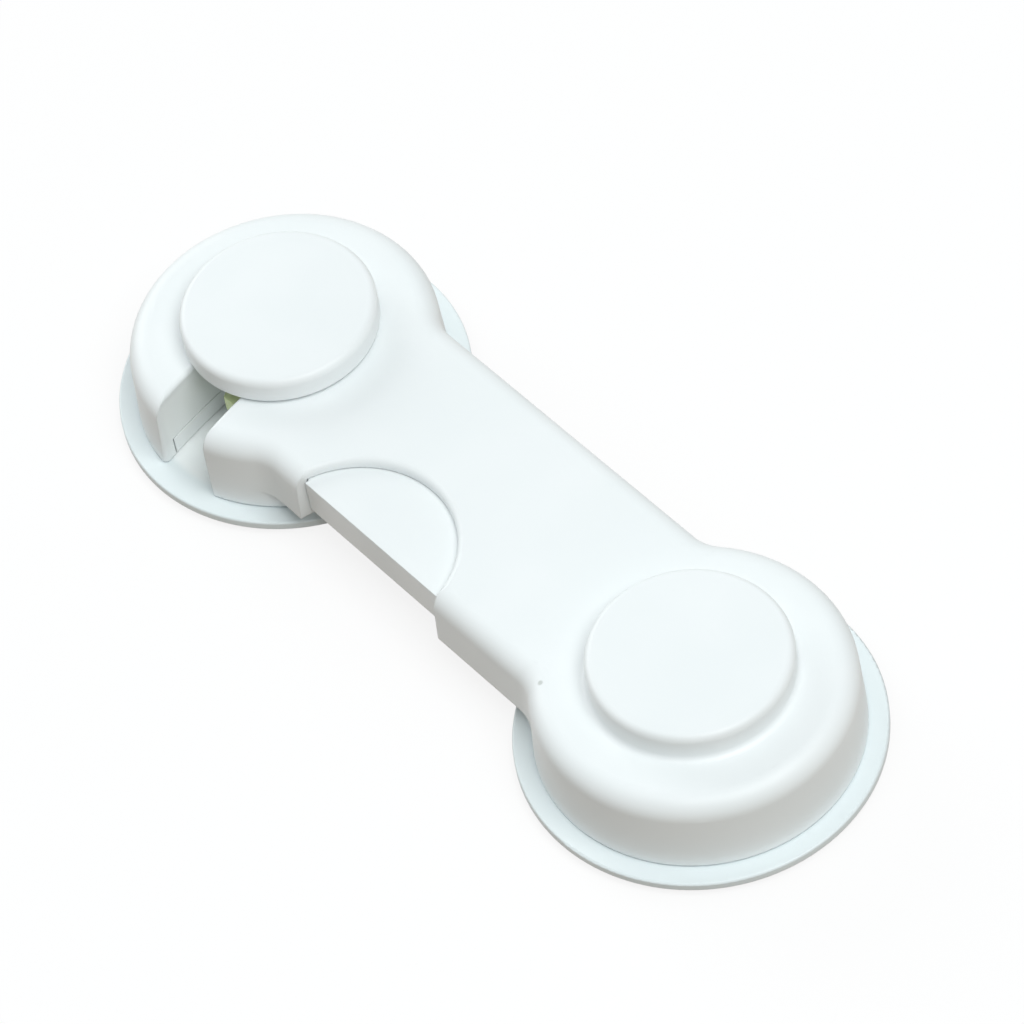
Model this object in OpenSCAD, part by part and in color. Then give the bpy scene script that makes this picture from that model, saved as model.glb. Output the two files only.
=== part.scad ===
// Cabinet safety lock: an arm that turns on one stick-on base and snaps its
// jaw round the post of a second stick-on base.
// Millimetres, +Z up. The origin is on the mounting surface, midway between the
// two bases. The pivot base is at +X, the catch base at -X, and the push button
// and the mouth of the jaw face -Y.

/* [Bases] */
// Distance between the pivot axis and the catch axis
axis_gap = 67.3; // [64:0.1:90]
// Radius of both base discs
disc_r = 20; // [18.5:0.1:24]
// Thickness of both base discs
disc_t = 1; // [0.8:0.1:1.6]
// Rounding of the top edge of a disc
disc_edge_r = 0.25; // [0.1:0.05:0.4]
// Thickness of the adhesive foam pads
pad_t = 1; // [0.5:0.1:1.6]
// How far a pad stays inside the rim of its disc
pad_inset = 1; // [0.4:0.1:2.5]

/* [Arm] */
// Radius of both arm heads at their skirt
head_r = 17.8; // [17.2:0.05:18.4]
// Width of the arm between its heads, at its underside
waist_w = 26.1; // [25.4:0.1:27.5]
// How much the sides lean in for each unit of height
draft_share = 0.05; // [0.02:0.01:0.07]
// Height of the arm, from the skirt of its heads to its top
arm_h = 9.6; // [9.2:0.1:11.5]
// How much higher the underside of the waist is than the skirt
waist_lift = 2.5; // [2:0.1:2.8]
// Gap between a disc and the skirt above it
disc_gap = 0.2; // [0.15:0.05:0.5]
// Rounding of the top edge of the arm
edge_r = 2.4; // [1.8:0.1:2.5]
// Thickness of the side walls of the shell
wall_t = 1.3; // [1.2:0.05:1.5]
// Thickness of the top of the shell
top_t = 1.2; // [1:0.05:1.4]
// Thickness of the floor that closes the arm
floor_t = 0.9; // [0.7:0.05:1.1]
// Gap between the floor and the walls of the shell
floor_fit = 0.15; // [0.05:0.05:0.3]
// Thickness of the ribs inside the shell
rib_t = 1; // [0.7:0.1:1.3]

/* [Round caps] */
// Radius of the cap on the post and of the boss over the pivot
cap_r = 11.05; // [10.4:0.05:12]
// Height of both above the top of the arm
cap_rise = 4; // [3.6:0.1:5]
// Rounding of their top edge
cap_edge_r = 0.9; // [0.5:0.1:1.2]
// How much their tops are crowned
cap_crown = 0.4; // [0.2:0.05:0.7]
// Gap between the top of the arm and the underside of the catch cap
cap_gap = 0.3; // [0.2:0.05:0.6]
// Rounding of the lower edge of the catch cap
cap_foot_r = 0.5; // [0.3:0.1:0.6]
// Hollow blend at the foot of the pivot boss
boss_foot_r = 0.7; // [0.4:0.1:1]
// Wall of the cap and of the pivot boss
cap_wall = 1.3; // [1:0.1:1.5]

/* [Pivot] */
// Radius of the hub on the pivot base
hub_r = 8; // [7.6:0.1:8.4]
// Height of the hub above its disc
hub_h = 6.2; // [5.7:0.1:6.4]
// Radius of the hollow under the hub
hub_hollow_r = 6; // [5.6:0.1:6.4]
// Thickness of the top of the hub
hub_web_t = 2; // [1.6:0.1:2.2]
// Radius of the journal of the arm, which turns in the hub
journal_r = 3.4; // [3:0.1:3.6]
// Radial clearance of the journal
journal_fit = 0.05; // [0.02:0.01:0.08]
// End play of the arm, above the hub and again below its web
end_play = 0.1; // [0.05:0.05:0.2]
// Radius of the shoulder that rides on the hub
shoulder_r = 5.2; // [4.6:0.1:6]

/* [Catch] */
// Radius of the post that the jaw holds
post_r = 3; // [2.8:0.05:3.1]
// Clearance of the post in its seat
post_clear = 0.5; // [0.4:0.05:0.6]
// Radius of the bore in the post
post_bore_r = 1.9; // [1.7:0.05:2]
// Radial clearance of the spigot of the cap in that bore
spigot_fit = 0.05; // [0.02:0.01:0.08]
// Wall round the jaw
jaw_wall = 1.2; // [0.9:0.05:1.3]
// Rounding of the top edges of the jaw
jaw_edge_r = 0.5; // [0.2:0.1:0.8]
// Rounding of the corner of its mouth on the side of the pivot
mouth_in_r = 0.5; // [0.3:0.1:1]
// Rounding of the other corner of its mouth
mouth_out_r = 0.6; // [0.4:0.1:1]

/* [Button] */
// Radius of the half-round window that the button shows in
window_r = 11.6; // [11.2:0.1:12]
// How far the centre of that window lies outside the side of the arm
window_out = 1.45; // [1:0.05:1.8]
// Distance along X from the catch axis to the middle of the button
button_from_catch = 28.8; // [28.4:0.05:29.4]
// Rounding of the top edge of the window
window_edge_r = 0.7; // [0.3:0.1:0.9]
// Sliding clearance round the button
button_fit = 0.15; // [0.1:0.05:0.25]
// How far the face of the button stands back from the side of the arm
button_set_back = 1.25; // [1:0.05:1.4]
// Travel of the button
button_travel = 3.2; // [2.8:0.1:3.3]
// Wall of the button
button_wall = 1.2; // [0.9:0.1:1.3]
// How far the button reaches under the rim of its window
button_flange = 1.8; // [1.4:0.1:2.1]
// Width of the tongue that guides the button
guide_w = 6.4; // [6:0.1:6.6]
// Distance from the side of the arm to the end of that tongue
guide_len = 17.5; // [17:0.1:18]

/* [Latch] */
// How far the latch reaches across the post
latch_bite = 3; // [2.6:0.1:3.2]
// Extra travel that frees the post from the latch
latch_free = 0.7; // [0.6:0.05:0.8]
// Gap between the latch and the post
latch_gap = 0.45; // [0.3:0.05:0.6]
// Width of the tongue of the latch, across the jaw
tongue_w = 6.6; // [5.8:0.1:7]
// Rounding of the nose of that tongue
nose_r = 1; // [0.6:0.1:1.3]
// Clear height kept over the springy leaf of the latch
leaf_room = 1; // [0.8:0.1:1.6]
// Thickness of the leaf
leaf_t = 0.8; // [0.6:0.1:1]
// Thickness of the plate of the latch
latch_plate_t = 1.8; // [1.4:0.1:1.9]
// Radius of the cam pin under the button
cam_pin_r = 1.1; // [0.9:0.05:1.2]
// Clearance of the pins in the slots of the latch
pin_fit = 0.1; // [0.05:0.05:0.15]

/* [Spring and screws] */
// Clear height left over and under the spring, inside the button
spring_room = 0.35; // [0.25:0.05:0.55]
// Wire of the button spring
spring_wire = 0.45; // [0.35:0.05:0.5]
// Turns of the button spring
spring_turns = 6; // [5:0.5:7]
// Radius of the thread of the pivot screw
pivot_screw_r = 1.4; // [1.2:0.05:1.5]
// Length of the thread of the pivot screw
pivot_screw_len = 7.6; // [7:0.1:8]
// Radius of the thread of the catch screw
catch_screw_r = 1; // [0.9:0.05:1.05]
// Length of the thread of the catch screw
catch_screw_len = 7; // [6:0.1:7.4]
// Radius of the thread of the floor screws
floor_screw_r = 0.95; // [0.85:0.05:1]
// Length of the floor screws
floor_screw_len = 5; // [4.4:0.1:5.2]
// How deep a thread bites into plastic
thread_bite = 0.1; // [0.05:0.01:0.15]
// Width of the arms of the cross recess in a screw head
recess_w = 0.6; // [0.5:0.05:0.8]
// Depth of that recess
recess_depth = 0.5; // [0.4:0.05:0.55]

/* [Hidden] */

$fn = 72;
crown_fn = 1440;
screw_fn = 36;
over = 0.5;
// Keeps two surfaces from meeting exactly where they would be tangent
hair = 0.02;

white = [0.96, 0.98, 0.98];
foam = [0.86, 0.87, 0.87];
natural = [0.77, 0.8, 0.66];
steel = [0.74, 0.75, 0.77];

// Places along X and half widths
pivot_x = axis_gap / 2;
catch_x = -axis_gap / 2;
waist_half = waist_w / 2;
waist_root = waist_half + draft_share * waist_lift;
waist_in = waist_root - draft_share * arm_h - wall_t;
head_in = head_r - draft_share * arm_h - wall_t;
side_depth = waist_half - waist_in;

// Heights
disc_z = pad_t;
disc_top = disc_z + disc_t;
skirt_z = disc_top + disc_gap;
arm_top = skirt_z + arm_h;
ceil_z = arm_top - top_t;
waist_z = skirt_z + waist_lift;
head_floor_top = skirt_z + floor_t;
waist_floor_top = waist_z + floor_t;
cap_top = arm_top + cap_rise;
cap_ceil = cap_top - cap_crown - cap_wall;
cap_under = arm_top + cap_gap;

// Hub, journal, washer and screw of the pivot
hub_edge_r = 0.5;
hub_top = disc_top + hub_h;
shoulder_z = hub_top + end_play;
journal_end = hub_top - hub_web_t - end_play;
washer_t = 0.7;
washer_r = 5.2;
washer_bore_fit = 0.1;
washer_z = journal_end - washer_t;
recess_share = 0.65;
pivot_head_r = 2.6;
pivot_head_h = 1.7;
star_ribs = 6;
rib_gap = 0.4;
rib_bottom = hub_top + rib_gap;
floor_hub_gap = 0.5;

// Post, cap and screw of the catch
post_foot_r = 0.25;
seat_r = post_r + post_clear;
jaw_half = seat_r - hair;
jaw_reach = head_r + over;
jaw_sweep = 20;
catch_head_r = 2.2;
catch_head_h = 1.3;
catch_head_fit = 0.2;
catch_head_sink = 0.6;
catch_web_t = 1.2;
catch_web_z = disc_z + catch_head_sink + catch_head_h;
spigot_gap = 0.9;
spigot_z = catch_web_z + catch_web_t + spigot_gap;
cap_boss_r = 4.2;
cap_ribs = 6;
cap_rib_rise = 0.5;
pass_fit = 0.1;
tip_room = 0.4;

// Button
button_x = catch_x + button_from_catch;
window_y = -waist_half - window_out;
button_r = window_r + button_flange;
button_top = ceil_z - button_fit;
button_bottom = waist_floor_top + button_fit;
face_y = -waist_half + button_set_back;
face_half = sqrt(pow(window_r, 2) - pow(window_out + side_depth, 2)) - button_fit;
flange_y = -waist_in + button_fit;
guide_y = -waist_half + guide_len;
guide_rib_y = window_y + button_r + button_travel + button_fit;
guide_rib_drop = 0.9;
guide_wall = 1;

// Latch, all measured from the same slots and pins
latch_travel = latch_bite + latch_free;
latch_lift = 0.2;
latch_z = waist_floor_top + latch_lift;
latch_top = latch_z + latch_plate_t;
leaf_h = ceil_z - leaf_room - latch_z;
leaf_top = latch_z + leaf_h;
slot_wall = 0.9;
slot_r = cam_pin_r + pin_fit;
slot_pad = slot_r + slot_wall;
cam_inset = 2.6;
cam_side = window_r - cam_inset;
cam_x = button_x - cam_side;
cam_y = face_y + button_wall + button_travel + slot_pad + latch_lift;
cam_end = [cam_x - latch_travel, cam_y + button_travel];
plate_x0 = cam_end[0] - slot_pad;
plate_x1 = cam_x + slot_pad;
plate_y0 = cam_y - slot_pad;
plate_y1 = cam_end[1] + slot_pad;
tongue_tip_x = catch_x + post_r - latch_bite;
tongue_in_y = -post_r - latch_gap;
tongue_out_y = tongue_in_y - tongue_w;
tongue_bevel = 1.4;
tongue_lead = 2;
tongue_lift = 1.6;
latch_window_gap = 0.3;
leaf_gap = 0.65;
jaw_back_r = axis_gap - seat_r - jaw_wall;
leaf_x = pivot_x - sqrt(jaw_back_r * jaw_back_r - tongue_out_y * tongue_out_y) + leaf_gap;
guide_pin_r = 1;
bar_y = 6.5;
bar_pad = guide_pin_r + pin_fit + slot_wall;
guide_pin_x = leaf_x + leaf_t + bar_pad + latch_travel;
link_w = 3;
bar_x1 = max(guide_pin_x + bar_pad, plate_x0 + link_w);

// Button spring
spring_z = (button_top + button_bottom) / 2;
spring_d = button_top - button_bottom - 2 * spring_room;
spring_seat = 0.05;
spring_peg_r = spring_d / 2 - 2 * spring_wire;
button_peg_len = 1.6;
wall_peg_len = 1.2;
spring_y0 = guide_y + spring_seat + spring_wire / 2;
spring_y1 = waist_in - spring_seat - spring_wire / 2;
spring_mid_r = (spring_d - spring_wire) / 2;
spring_steps = 8;
spring_sides = 6;
spring_rings = spring_turns * spring_steps;

// Floor screws and the bosses that hold them
boss_wall = 1.1;
boss_r = floor_screw_r + boss_wall;
floor_head_r = 1.85;
floor_head_h = 0.75;
boss_edge_gap = 0.8;
riser_t = 1.1;
rear_angle = 150;
side_angle = 62;
head_rib_angles = [side_angle, 100, rear_angle, 195];
rear_ring_r = (seat_r + jaw_wall + head_in) / 2;
side_ring_r = head_in - boss_r - boss_edge_gap;
pair_y = waist_in - boss_r - rib_t;
head_bosses = [
    [pivot_x + (hub_r + head_in) / 2, 0],
    [catch_x + rear_ring_r * cos(rear_angle), rear_ring_r * sin(rear_angle)],
    [catch_x + side_ring_r * cos(side_angle), side_ring_r * sin(side_angle)]
];
waist_bosses = [[pivot_x - head_r, -pair_y], [pivot_x - head_r, pair_y]];

// Half of a section through a disc whose top edge is rounded
module puck_section(r, h, e) {
    square([r - e, h]);
    square([r, h - e]);
    translate([r - e, h - e]) circle(e);
}

// The same with a slightly crowned top
module crowned_section(r, h, e, crown) {
    flat_r = r - e;
    crown_r = (flat_r * flat_r + crown * crown) / (2 * crown);
    puck_section(r, h - crown, e);
    intersection() {
        translate([0, h - crown_r]) circle(crown_r, $fn = crown_fn);
        translate([0, h - crown - e]) square([flat_r, crown + e]);
    }
}

// What a rounding of radius e takes off a square corner at the origin
module corner_cut(e) {
    translate([-e, -e]) difference() {
        square(e + over);
        circle(e);
    }
}

// Half of a section through a drafted wall whose top edge is rounded
module drafted_section(from_x, r, h, e) {
    lean = atan(draft_share);
    mid_x = r - draft_share * (h - e) - e / cos(lean);
    polygon([
        [from_x, 0], [r, 0], [mid_x + e * cos(lean), h - e + e * sin(lean)],
        [mid_x, h - e], [mid_x, h], [from_x, h]
    ]);
    translate([mid_x, h - e]) circle(e);
}

module disc() {
    rotate_extrude() puck_section(disc_r, disc_t, disc_edge_r);
}

// Plan of the jaw round the catch axis: a seat, and a slot towards -Y that
// follows the path of the post while the arm swings
module jaw_plan(grow) {
    circle(seat_r + grow);
    intersection() {
        translate([axis_gap, 0]) difference() {
            circle(axis_gap + jaw_half + grow, $fn = crown_fn);
            circle(axis_gap - jaw_half - grow, $fn = crown_fn);
        }
        translate([-jaw_reach, -jaw_reach]) square([2 * jaw_reach, jaw_reach]);
    }
}

// What a rounding takes off a corner of the mouth of the jaw, in plan; side is
// 1 for the corner near the pivot and -1 for the other
module mouth_corner(side, r) {
    wall_r = axis_gap - side * jaw_half;
    from_pivot = wall_r - side * r;
    from_catch = head_r - r;
    x = (pow(from_catch, 2) + pow(axis_gap, 2) - pow(from_pivot, 2)) / (2 * axis_gap);
    y = -sqrt(pow(from_catch, 2) - x * x);
    to_slot = side * [x - axis_gap, y] / from_pivot;
    to_side = [x, y] / from_catch;
    reach = r + over;
    translate([x, y]) difference() {
        polygon([[0, 0], reach * to_slot, reach * (to_slot + to_side), reach * to_side]);
        circle(r + hair);
    }
}

// Everything that the jaw leaves open, in plan
module jaw_opening() {
    jaw_plan(0);
    mouth_corner(1, mouth_in_r);
    mouth_corner(-1, mouth_out_r);
}

// A screw that is driven upwards, with its head below the origin
module pan_screw(head_radius, head_height, thread_r, thread_len) {
    difference() {
        translate([0, 0, -head_height]) cylinder(r = head_radius, h = head_height, $fn = screw_fn);
        translate([0, 0, -head_height]) cross_recess(head_radius);
    }
    cylinder(r = thread_r, h = thread_len, $fn = screw_fn);
}

// Cross recess in the face of a screw head that looks down at z = 0
module cross_recess(head_radius) {
    for (turn = [0, 90]) rotate([0, 0, turn]) translate([-head_radius * recess_share, -recess_w / 2, -over])
        cube([2 * head_radius * recess_share, recess_w, recess_depth + over]);
}

// Plan of a straight slot between two places, its sides a hair inside its round ends
module slot_plan(from, to, r) {
    run = to - from;
    translate(from) {
        circle(r);
        rotate(atan2(run[1], run[0])) translate([0, hair - r]) square([norm(run), 2 * (r - hair)]);
    }
    translate(to) circle(r);
}

module pivot_pad() {
    color(foam) translate([pivot_x, 0, 0]) cylinder(r = disc_r - pad_inset, h = pad_t);
}

module catch_pad() {
    color(foam) translate([catch_x, 0, 0]) cylinder(r = disc_r - pad_inset, h = pad_t);
}

// Disc with a hollow hub; the journal of the arm turns in the web on top
module pivot_base() {
    color(white) translate([pivot_x, 0, 0]) difference() {
        union() {
            translate([0, 0, disc_z]) disc();
            translate([0, 0, disc_z]) rotate_extrude() puck_section(hub_r, disc_t + hub_h, hub_edge_r);
        }
        translate([0, 0, disc_z - over]) cylinder(r = hub_hollow_r, h = over + disc_t + hub_h - hub_web_t);
        translate([0, 0, disc_z]) cylinder(r = journal_r + journal_fit, h = disc_t + hub_h + over);
    }
}

// Disc with the hollow post that the jaw closes on
module catch_base() {
    color(white) translate([catch_x, 0, 0]) difference() {
        union() {
            translate([0, 0, disc_z]) disc();
            translate([0, 0, disc_z]) cylinder(r = post_r, h = cap_under - disc_z);
            translate([0, 0, disc_top]) rotate_extrude() difference() {
                square([post_r + post_foot_r, post_foot_r]);
                translate([post_r + post_foot_r, post_foot_r]) circle(post_foot_r);
            }
        }
        translate([0, 0, disc_z - over])
            cylinder(r = catch_head_r + catch_head_fit, h = catch_web_z - disc_z + over);
        translate([0, 0, disc_z]) cylinder(r = catch_screw_r + pass_fit, h = cap_under);
        translate([0, 0, catch_web_z + catch_web_t]) cylinder(r = post_bore_r, h = cap_under);
    }
}

// Mushroom cap with a ribbed underside and a spigot that sits in the post
module catch_cap() {
    color(white) translate([catch_x, 0, 0]) difference() {
        union() {
            difference() {
                translate([0, 0, cap_under]) rotate_extrude() difference() {
                    crowned_section(cap_r, cap_top - cap_under, cap_edge_r, cap_crown);
                    translate([cap_r, 0]) mirror([0, 1]) corner_cut(cap_foot_r);
                }
                translate([0, 0, cap_under - over]) cylinder(r = cap_r - cap_wall, h = cap_ceil - cap_under + over);
            }
            translate([0, 0, cap_under]) cylinder(r = cap_boss_r, h = cap_top - cap_crown - cap_under);
            for (turn = [0 : cap_ribs - 1]) rotate([0, 0, turn * 360 / cap_ribs])
                translate([0, -rib_t / 2, cap_under + cap_rib_rise])
                    cube([cap_r - cap_wall / 2, rib_t, cap_ceil - cap_under]);
            translate([0, 0, spigot_z]) cylinder(r = post_bore_r - spigot_fit, h = cap_ceil - spigot_z);
        }
        translate([0, 0, spigot_z - over])
            cylinder(r = catch_screw_r - thread_bite, h = catch_web_z + catch_screw_len + tip_room - spigot_z + over,
                $fn = screw_fn);
    }
}

module catch_screw() {
    color(steel) translate([catch_x, 0, catch_web_z])
        pan_screw(catch_head_r, catch_head_h, catch_screw_r, catch_screw_len);
}

// Outer form of the arm: two round heads and the waist, all with the same draft
module arm_body() {
    for (x = [pivot_x, catch_x]) translate([x, 0, skirt_z]) rotate_extrude() drafted_section(0, head_r, arm_h, edge_r);
    waist_h = arm_top - waist_z;
    translate([catch_x, 0, waist_z]) rotate([90, 0, 90]) linear_extrude(axis_gap)
        for (side = [0, 1]) mirror([side, 0]) drafted_section(-over, waist_half, waist_h, edge_r);
}

// Round boss over the pivot, moulded with the shell
module pivot_boss() {
    translate([pivot_x, 0, arm_top]) rotate_extrude() {
        crowned_section(cap_r, cap_rise, cap_edge_r, cap_crown);
        difference() {
            square([cap_r + boss_foot_r, boss_foot_r]);
            translate([cap_r + boss_foot_r, boss_foot_r]) circle(boss_foot_r);
        }
    }
}

module arm_hollow() {
    for (x = [pivot_x, catch_x]) translate([x, 0, skirt_z - over])
        cylinder(r = head_in, h = ceil_z - skirt_z + over);
    translate([catch_x, -waist_in, skirt_z - over]) cube([axis_gap, 2 * waist_in, ceil_z - skirt_z + over]);
    translate([pivot_x, 0, ceil_z - over]) cylinder(r = cap_r - cap_wall, h = cap_ceil - ceil_z + over);
}

// Everything that hangs from the inside of the shell's top
module shell_ribs() {
    translate([pivot_x, 0, shoulder_z]) cylinder(r = shoulder_r, h = cap_ceil + over - shoulder_z);
    translate([pivot_x, 0, journal_end]) cylinder(r = journal_r, h = cap_ceil - journal_end);
    for (turn = [0 : star_ribs - 1]) translate([pivot_x, 0, 0]) rotate([0, 0, turn * 360 / star_ribs]) {
        translate([0, -rib_t / 2, rib_bottom]) cube([head_in + over, rib_t, ceil_z + over - rib_bottom]);
        translate([0, -rib_t / 2, rib_bottom]) cube([cap_r - cap_wall / 2, rib_t, cap_ceil + over - rib_bottom]);
    }
    spine_x = button_x + button_r + button_fit;
    translate([spine_x, -rib_t / 2, rib_bottom]) cube([pivot_x - spine_x, rib_t, ceil_z + over - rib_bottom]);
    translate([pivot_x - head_r - rib_t / 2, -waist_in - over, rib_bottom])
        cube([rib_t, 2 * (waist_in + over), ceil_z + over - rib_bottom]);
    for (place = head_bosses) translate([place[0], place[1], head_floor_top])
        cylinder(r = boss_r, h = ceil_z + over - head_floor_top);
    for (place = waist_bosses) translate([place[0], place[1], waist_floor_top])
        cylinder(r = boss_r, h = ceil_z + over - waist_floor_top);
    for (angle = head_rib_angles) translate([catch_x, 0, 0])
        rotate([0, 0, angle]) translate([seat_r + jaw_wall / 2, -rib_t / 2, waist_z])
            cube([head_in + over - seat_r - jaw_wall / 2, rib_t, ceil_z + over - waist_z]);
    latch_guides();
    button_guides();
}

// Rib and pin that guide the latch along X
module latch_guides() {
    translate([leaf_x - leaf_gap, bar_y + bar_pad + button_fit, latch_z])
        cube([bar_x1 - leaf_x, rib_t, ceil_z + over - latch_z]);
    translate([guide_pin_x, bar_y, latch_z]) cylinder(r = guide_pin_r, h = ceil_z + over - latch_z);
}

// Ribs beside the tongue of the button, and the peg behind its spring
module button_guides() {
    for (side = [-1, 1]) translate([button_x + side * (guide_w / 2 + button_fit + rib_t / 2) - rib_t / 2,
        guide_rib_y, button_bottom + guide_rib_drop])
        cube([rib_t, waist_in + over - guide_rib_y, ceil_z + over - button_bottom - guide_rib_drop]);
    translate([button_x, waist_in + over, spring_z]) rotate([90, 0, 0])
        cylinder(r = spring_peg_r, h = wall_peg_len + over, $fn = screw_fn);
}

// Moulded shell of the arm
module arm_shell() {
    color(white) difference() {
        union() {
            difference() {
                union() {
                    arm_body();
                    pivot_boss();
                }
                arm_hollow();
            }
            intersection() {
                translate([catch_x, 0, waist_z]) linear_extrude(arm_top - top_t / 2 - waist_z) jaw_plan(jaw_wall);
                translate([catch_x, 0, skirt_z]) cylinder(r = head_in + over, h = arm_h);
            }
            shell_ribs();
        }
        translate([catch_x, 0, skirt_z - over]) linear_extrude(arm_h + 2 * over) jaw_opening();
        jaw_edge_cuts();
        latch_window();
        button_window();
        for (place = head_bosses) translate([place[0], place[1], head_floor_top - over])
            pilot_hole(floor_screw_len - floor_t);
        for (place = waist_bosses) translate([place[0], place[1], waist_floor_top - over])
            pilot_hole(floor_screw_len - floor_t);
        translate([pivot_x, 0, journal_end - over])
            cylinder(r = pivot_screw_r - thread_bite, h = pivot_screw_len - washer_t + tip_room + over,
                $fn = screw_fn);
    }
}

module pilot_hole(depth) {
    cylinder(r = floor_screw_r - thread_bite, h = depth + tip_room + over, $fn = screw_fn);
}

// Rounds the two long top edges of the jaw
module jaw_edge_cuts() {
    translate([pivot_x, 0, arm_top]) rotate([0, 0, 180]) rotate_extrude(angle = jaw_sweep, $fn = crown_fn) {
        translate([axis_gap - jaw_half, 0]) corner_cut(jaw_edge_r);
        translate([axis_gap + jaw_half, 0]) mirror([1, 0]) corner_cut(jaw_edge_r);
    }
}

// Window in the wall of the jaw that the tongue of the latch comes through
module latch_window() {
    translate([catch_x + post_r, tongue_out_y - latch_window_gap, latch_z + tongue_lift - latch_window_gap])
        cube([leaf_x - leaf_gap / 2 - catch_x - post_r, tongue_w + 2 * latch_window_gap,
            leaf_h - tongue_lift + 2 * latch_window_gap]);
}

// Half-round window for the button, through the top and the side
module button_window() {
    translate([button_x, window_y, 0]) {
        translate([0, 0, skirt_z - over]) cylinder(r = window_r, h = arm_h + 2 * over);
        translate([0, 0, arm_top]) rotate_extrude()
            translate([window_r, 0]) mirror([1, 0]) corner_cut(window_edge_r);
    }
}

// Floor that closes the arm, stepped up under the waist, with a rim round the
// jaw that meets the wall of the shell
module arm_floor() {
    color(white) difference() {
        union() {
            for (x = [pivot_x, catch_x]) translate([x, 0, skirt_z])
                cylinder(r = head_in - floor_fit, h = floor_t);
            intersection() {
                union() {
                    for (x = [pivot_x, catch_x]) translate([x, 0, skirt_z]) difference() {
                        cylinder(r = head_r, h = waist_floor_top - skirt_z);
                        translate([0, 0, floor_t]) cylinder(r = head_r - riser_t, h = waist_lift + floor_t);
                    }
                    translate([catch_x, -waist_in, waist_z]) difference() {
                        cube([axis_gap, 2 * waist_in, floor_t]);
                        for (x = [0, axis_gap]) translate([x, waist_in, -over])
                            cylinder(r = head_r - riser_t, h = floor_t + 2 * over);
                    }
                }
                translate([catch_x, -waist_in + floor_fit, skirt_z])
                    cube([axis_gap, 2 * (waist_in - floor_fit), waist_floor_top - skirt_z]);
            }
            latch_support();
            intersection() {
                translate([catch_x, 0, skirt_z]) linear_extrude(waist_lift - floor_fit) jaw_plan(jaw_wall);
                translate([catch_x, 0, skirt_z]) cylinder(r = head_in - floor_fit, h = waist_lift);
            }
        }
        translate([pivot_x, 0, skirt_z - over]) cylinder(r = hub_r + floor_hub_gap, h = floor_t + 2 * over);
        translate([catch_x, 0, skirt_z - over]) linear_extrude(arm_h) jaw_opening();
        for (place = head_bosses) translate([place[0], place[1], skirt_z]) countersink();
        for (place = waist_bosses) translate([place[0], place[1], waist_z]) countersink();
    }
}

// Ledge on the floor of the catch head that carries the bar of the latch
module latch_support() {
    translate([leaf_x, bar_y - bar_pad, skirt_z]) cube([bar_pad, 2 * bar_pad, latch_z - latch_lift - skirt_z]);
}

module countersink() {
    translate([0, 0, -over]) cylinder(r = floor_screw_r + pass_fit, h = floor_t + 2 * over, $fn = screw_fn);
    cylinder(r1 = floor_head_r + pass_fit / 2, r2 = floor_screw_r + pass_fit / 2, h = floor_head_h, $fn = screw_fn);
}

module floor_screws() {
    color(steel) {
        for (place = head_bosses) translate([place[0], place[1], skirt_z]) flat_screw();
        for (place = waist_bosses) translate([place[0], place[1], waist_z]) flat_screw();
    }
}

module flat_screw() {
    difference() {
        union() {
            cylinder(r1 = floor_head_r, r2 = floor_screw_r, h = floor_head_h, $fn = screw_fn);
            cylinder(r = floor_screw_r, h = floor_screw_len, $fn = screw_fn);
        }
        cross_recess(floor_head_r);
    }
}

module pivot_screw() {
    color(steel) translate([pivot_x, 0, washer_z])
        pan_screw(pivot_head_r, pivot_head_h, pivot_screw_r, pivot_screw_len);
}

module pivot_washer() {
    color(steel) translate([pivot_x, 0, washer_z]) difference() {
        cylinder(r = washer_r, h = washer_t);
        translate([0, 0, -over])
            cylinder(r = pivot_screw_r + washer_bore_fit, h = washer_t + 2 * over, $fn = screw_fn);
    }
}

// Plan of the button, less a wall: a face that fills the window and a flange
module button_plan(wall) {
    intersection() {
        translate([button_x, window_y]) circle(button_r - wall);
        translate([button_x - button_r, flange_y + wall]) square([2 * button_r, button_r]);
    }
    translate([button_x - face_half + wall, face_y + wall])
        square([2 * (face_half - wall), flange_y - face_y + button_wall]);
}

// Push button: a hollow moulding with a guide tongue and a cam pin
module release_button() {
    button_h = button_top - button_bottom;
    hollow_h = button_h - button_wall;
    notch_y0 = plate_y0 - button_travel - latch_lift;
    notch_y1 = plate_y1 + latch_lift;
    notch_x0 = button_x - button_r - over;
    notch_x1 = plate_x1 + latch_travel + latch_lift;
    color(white) {
        difference() {
            translate([0, 0, button_bottom]) linear_extrude(button_h) intersection() {
                button_plan(0);
                translate([button_x - button_r, face_y]) square([2 * button_r, button_r + waist_half]);
            }
            translate([0, 0, button_bottom - over]) linear_extrude(hollow_h + over) intersection() {
                button_plan(button_wall);
                translate([button_x, window_y]) circle(button_r - button_wall);
            }
            translate([notch_x0, notch_y0, button_bottom - over])
                cube([notch_x1 - notch_x0, notch_y1 - notch_y0, latch_top + latch_lift - button_bottom + over]);
        }
        translate([cam_x, cam_y, latch_z + pin_fit])
            cylinder(r = cam_pin_r, h = button_top - button_wall / 2 - latch_z - pin_fit);
        guide_tongue(button_h, hollow_h);
    }
}

// Hollow tongue behind the button, with a peg for the spring
module guide_tongue(button_h, hollow_h) {
    root_y = window_y + sqrt(pow(button_r - button_wall, 2) - guide_w * guide_w / 4);
    difference() {
        translate([button_x - guide_w / 2, root_y, button_bottom]) cube([guide_w, guide_y - root_y, button_h]);
        translate([button_x - guide_w / 2 + guide_wall, root_y + button_wall, button_bottom - over])
            cube([guide_w - 2 * guide_wall, guide_y - root_y - button_wall - guide_wall, hollow_h + over]);
    }
    translate([button_x, guide_y - guide_wall / 2, spring_z]) rotate([-90, 0, 0])
        cylinder(r = spring_peg_r, h = button_peg_len + guide_wall / 2, $fn = screw_fn);
}

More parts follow.
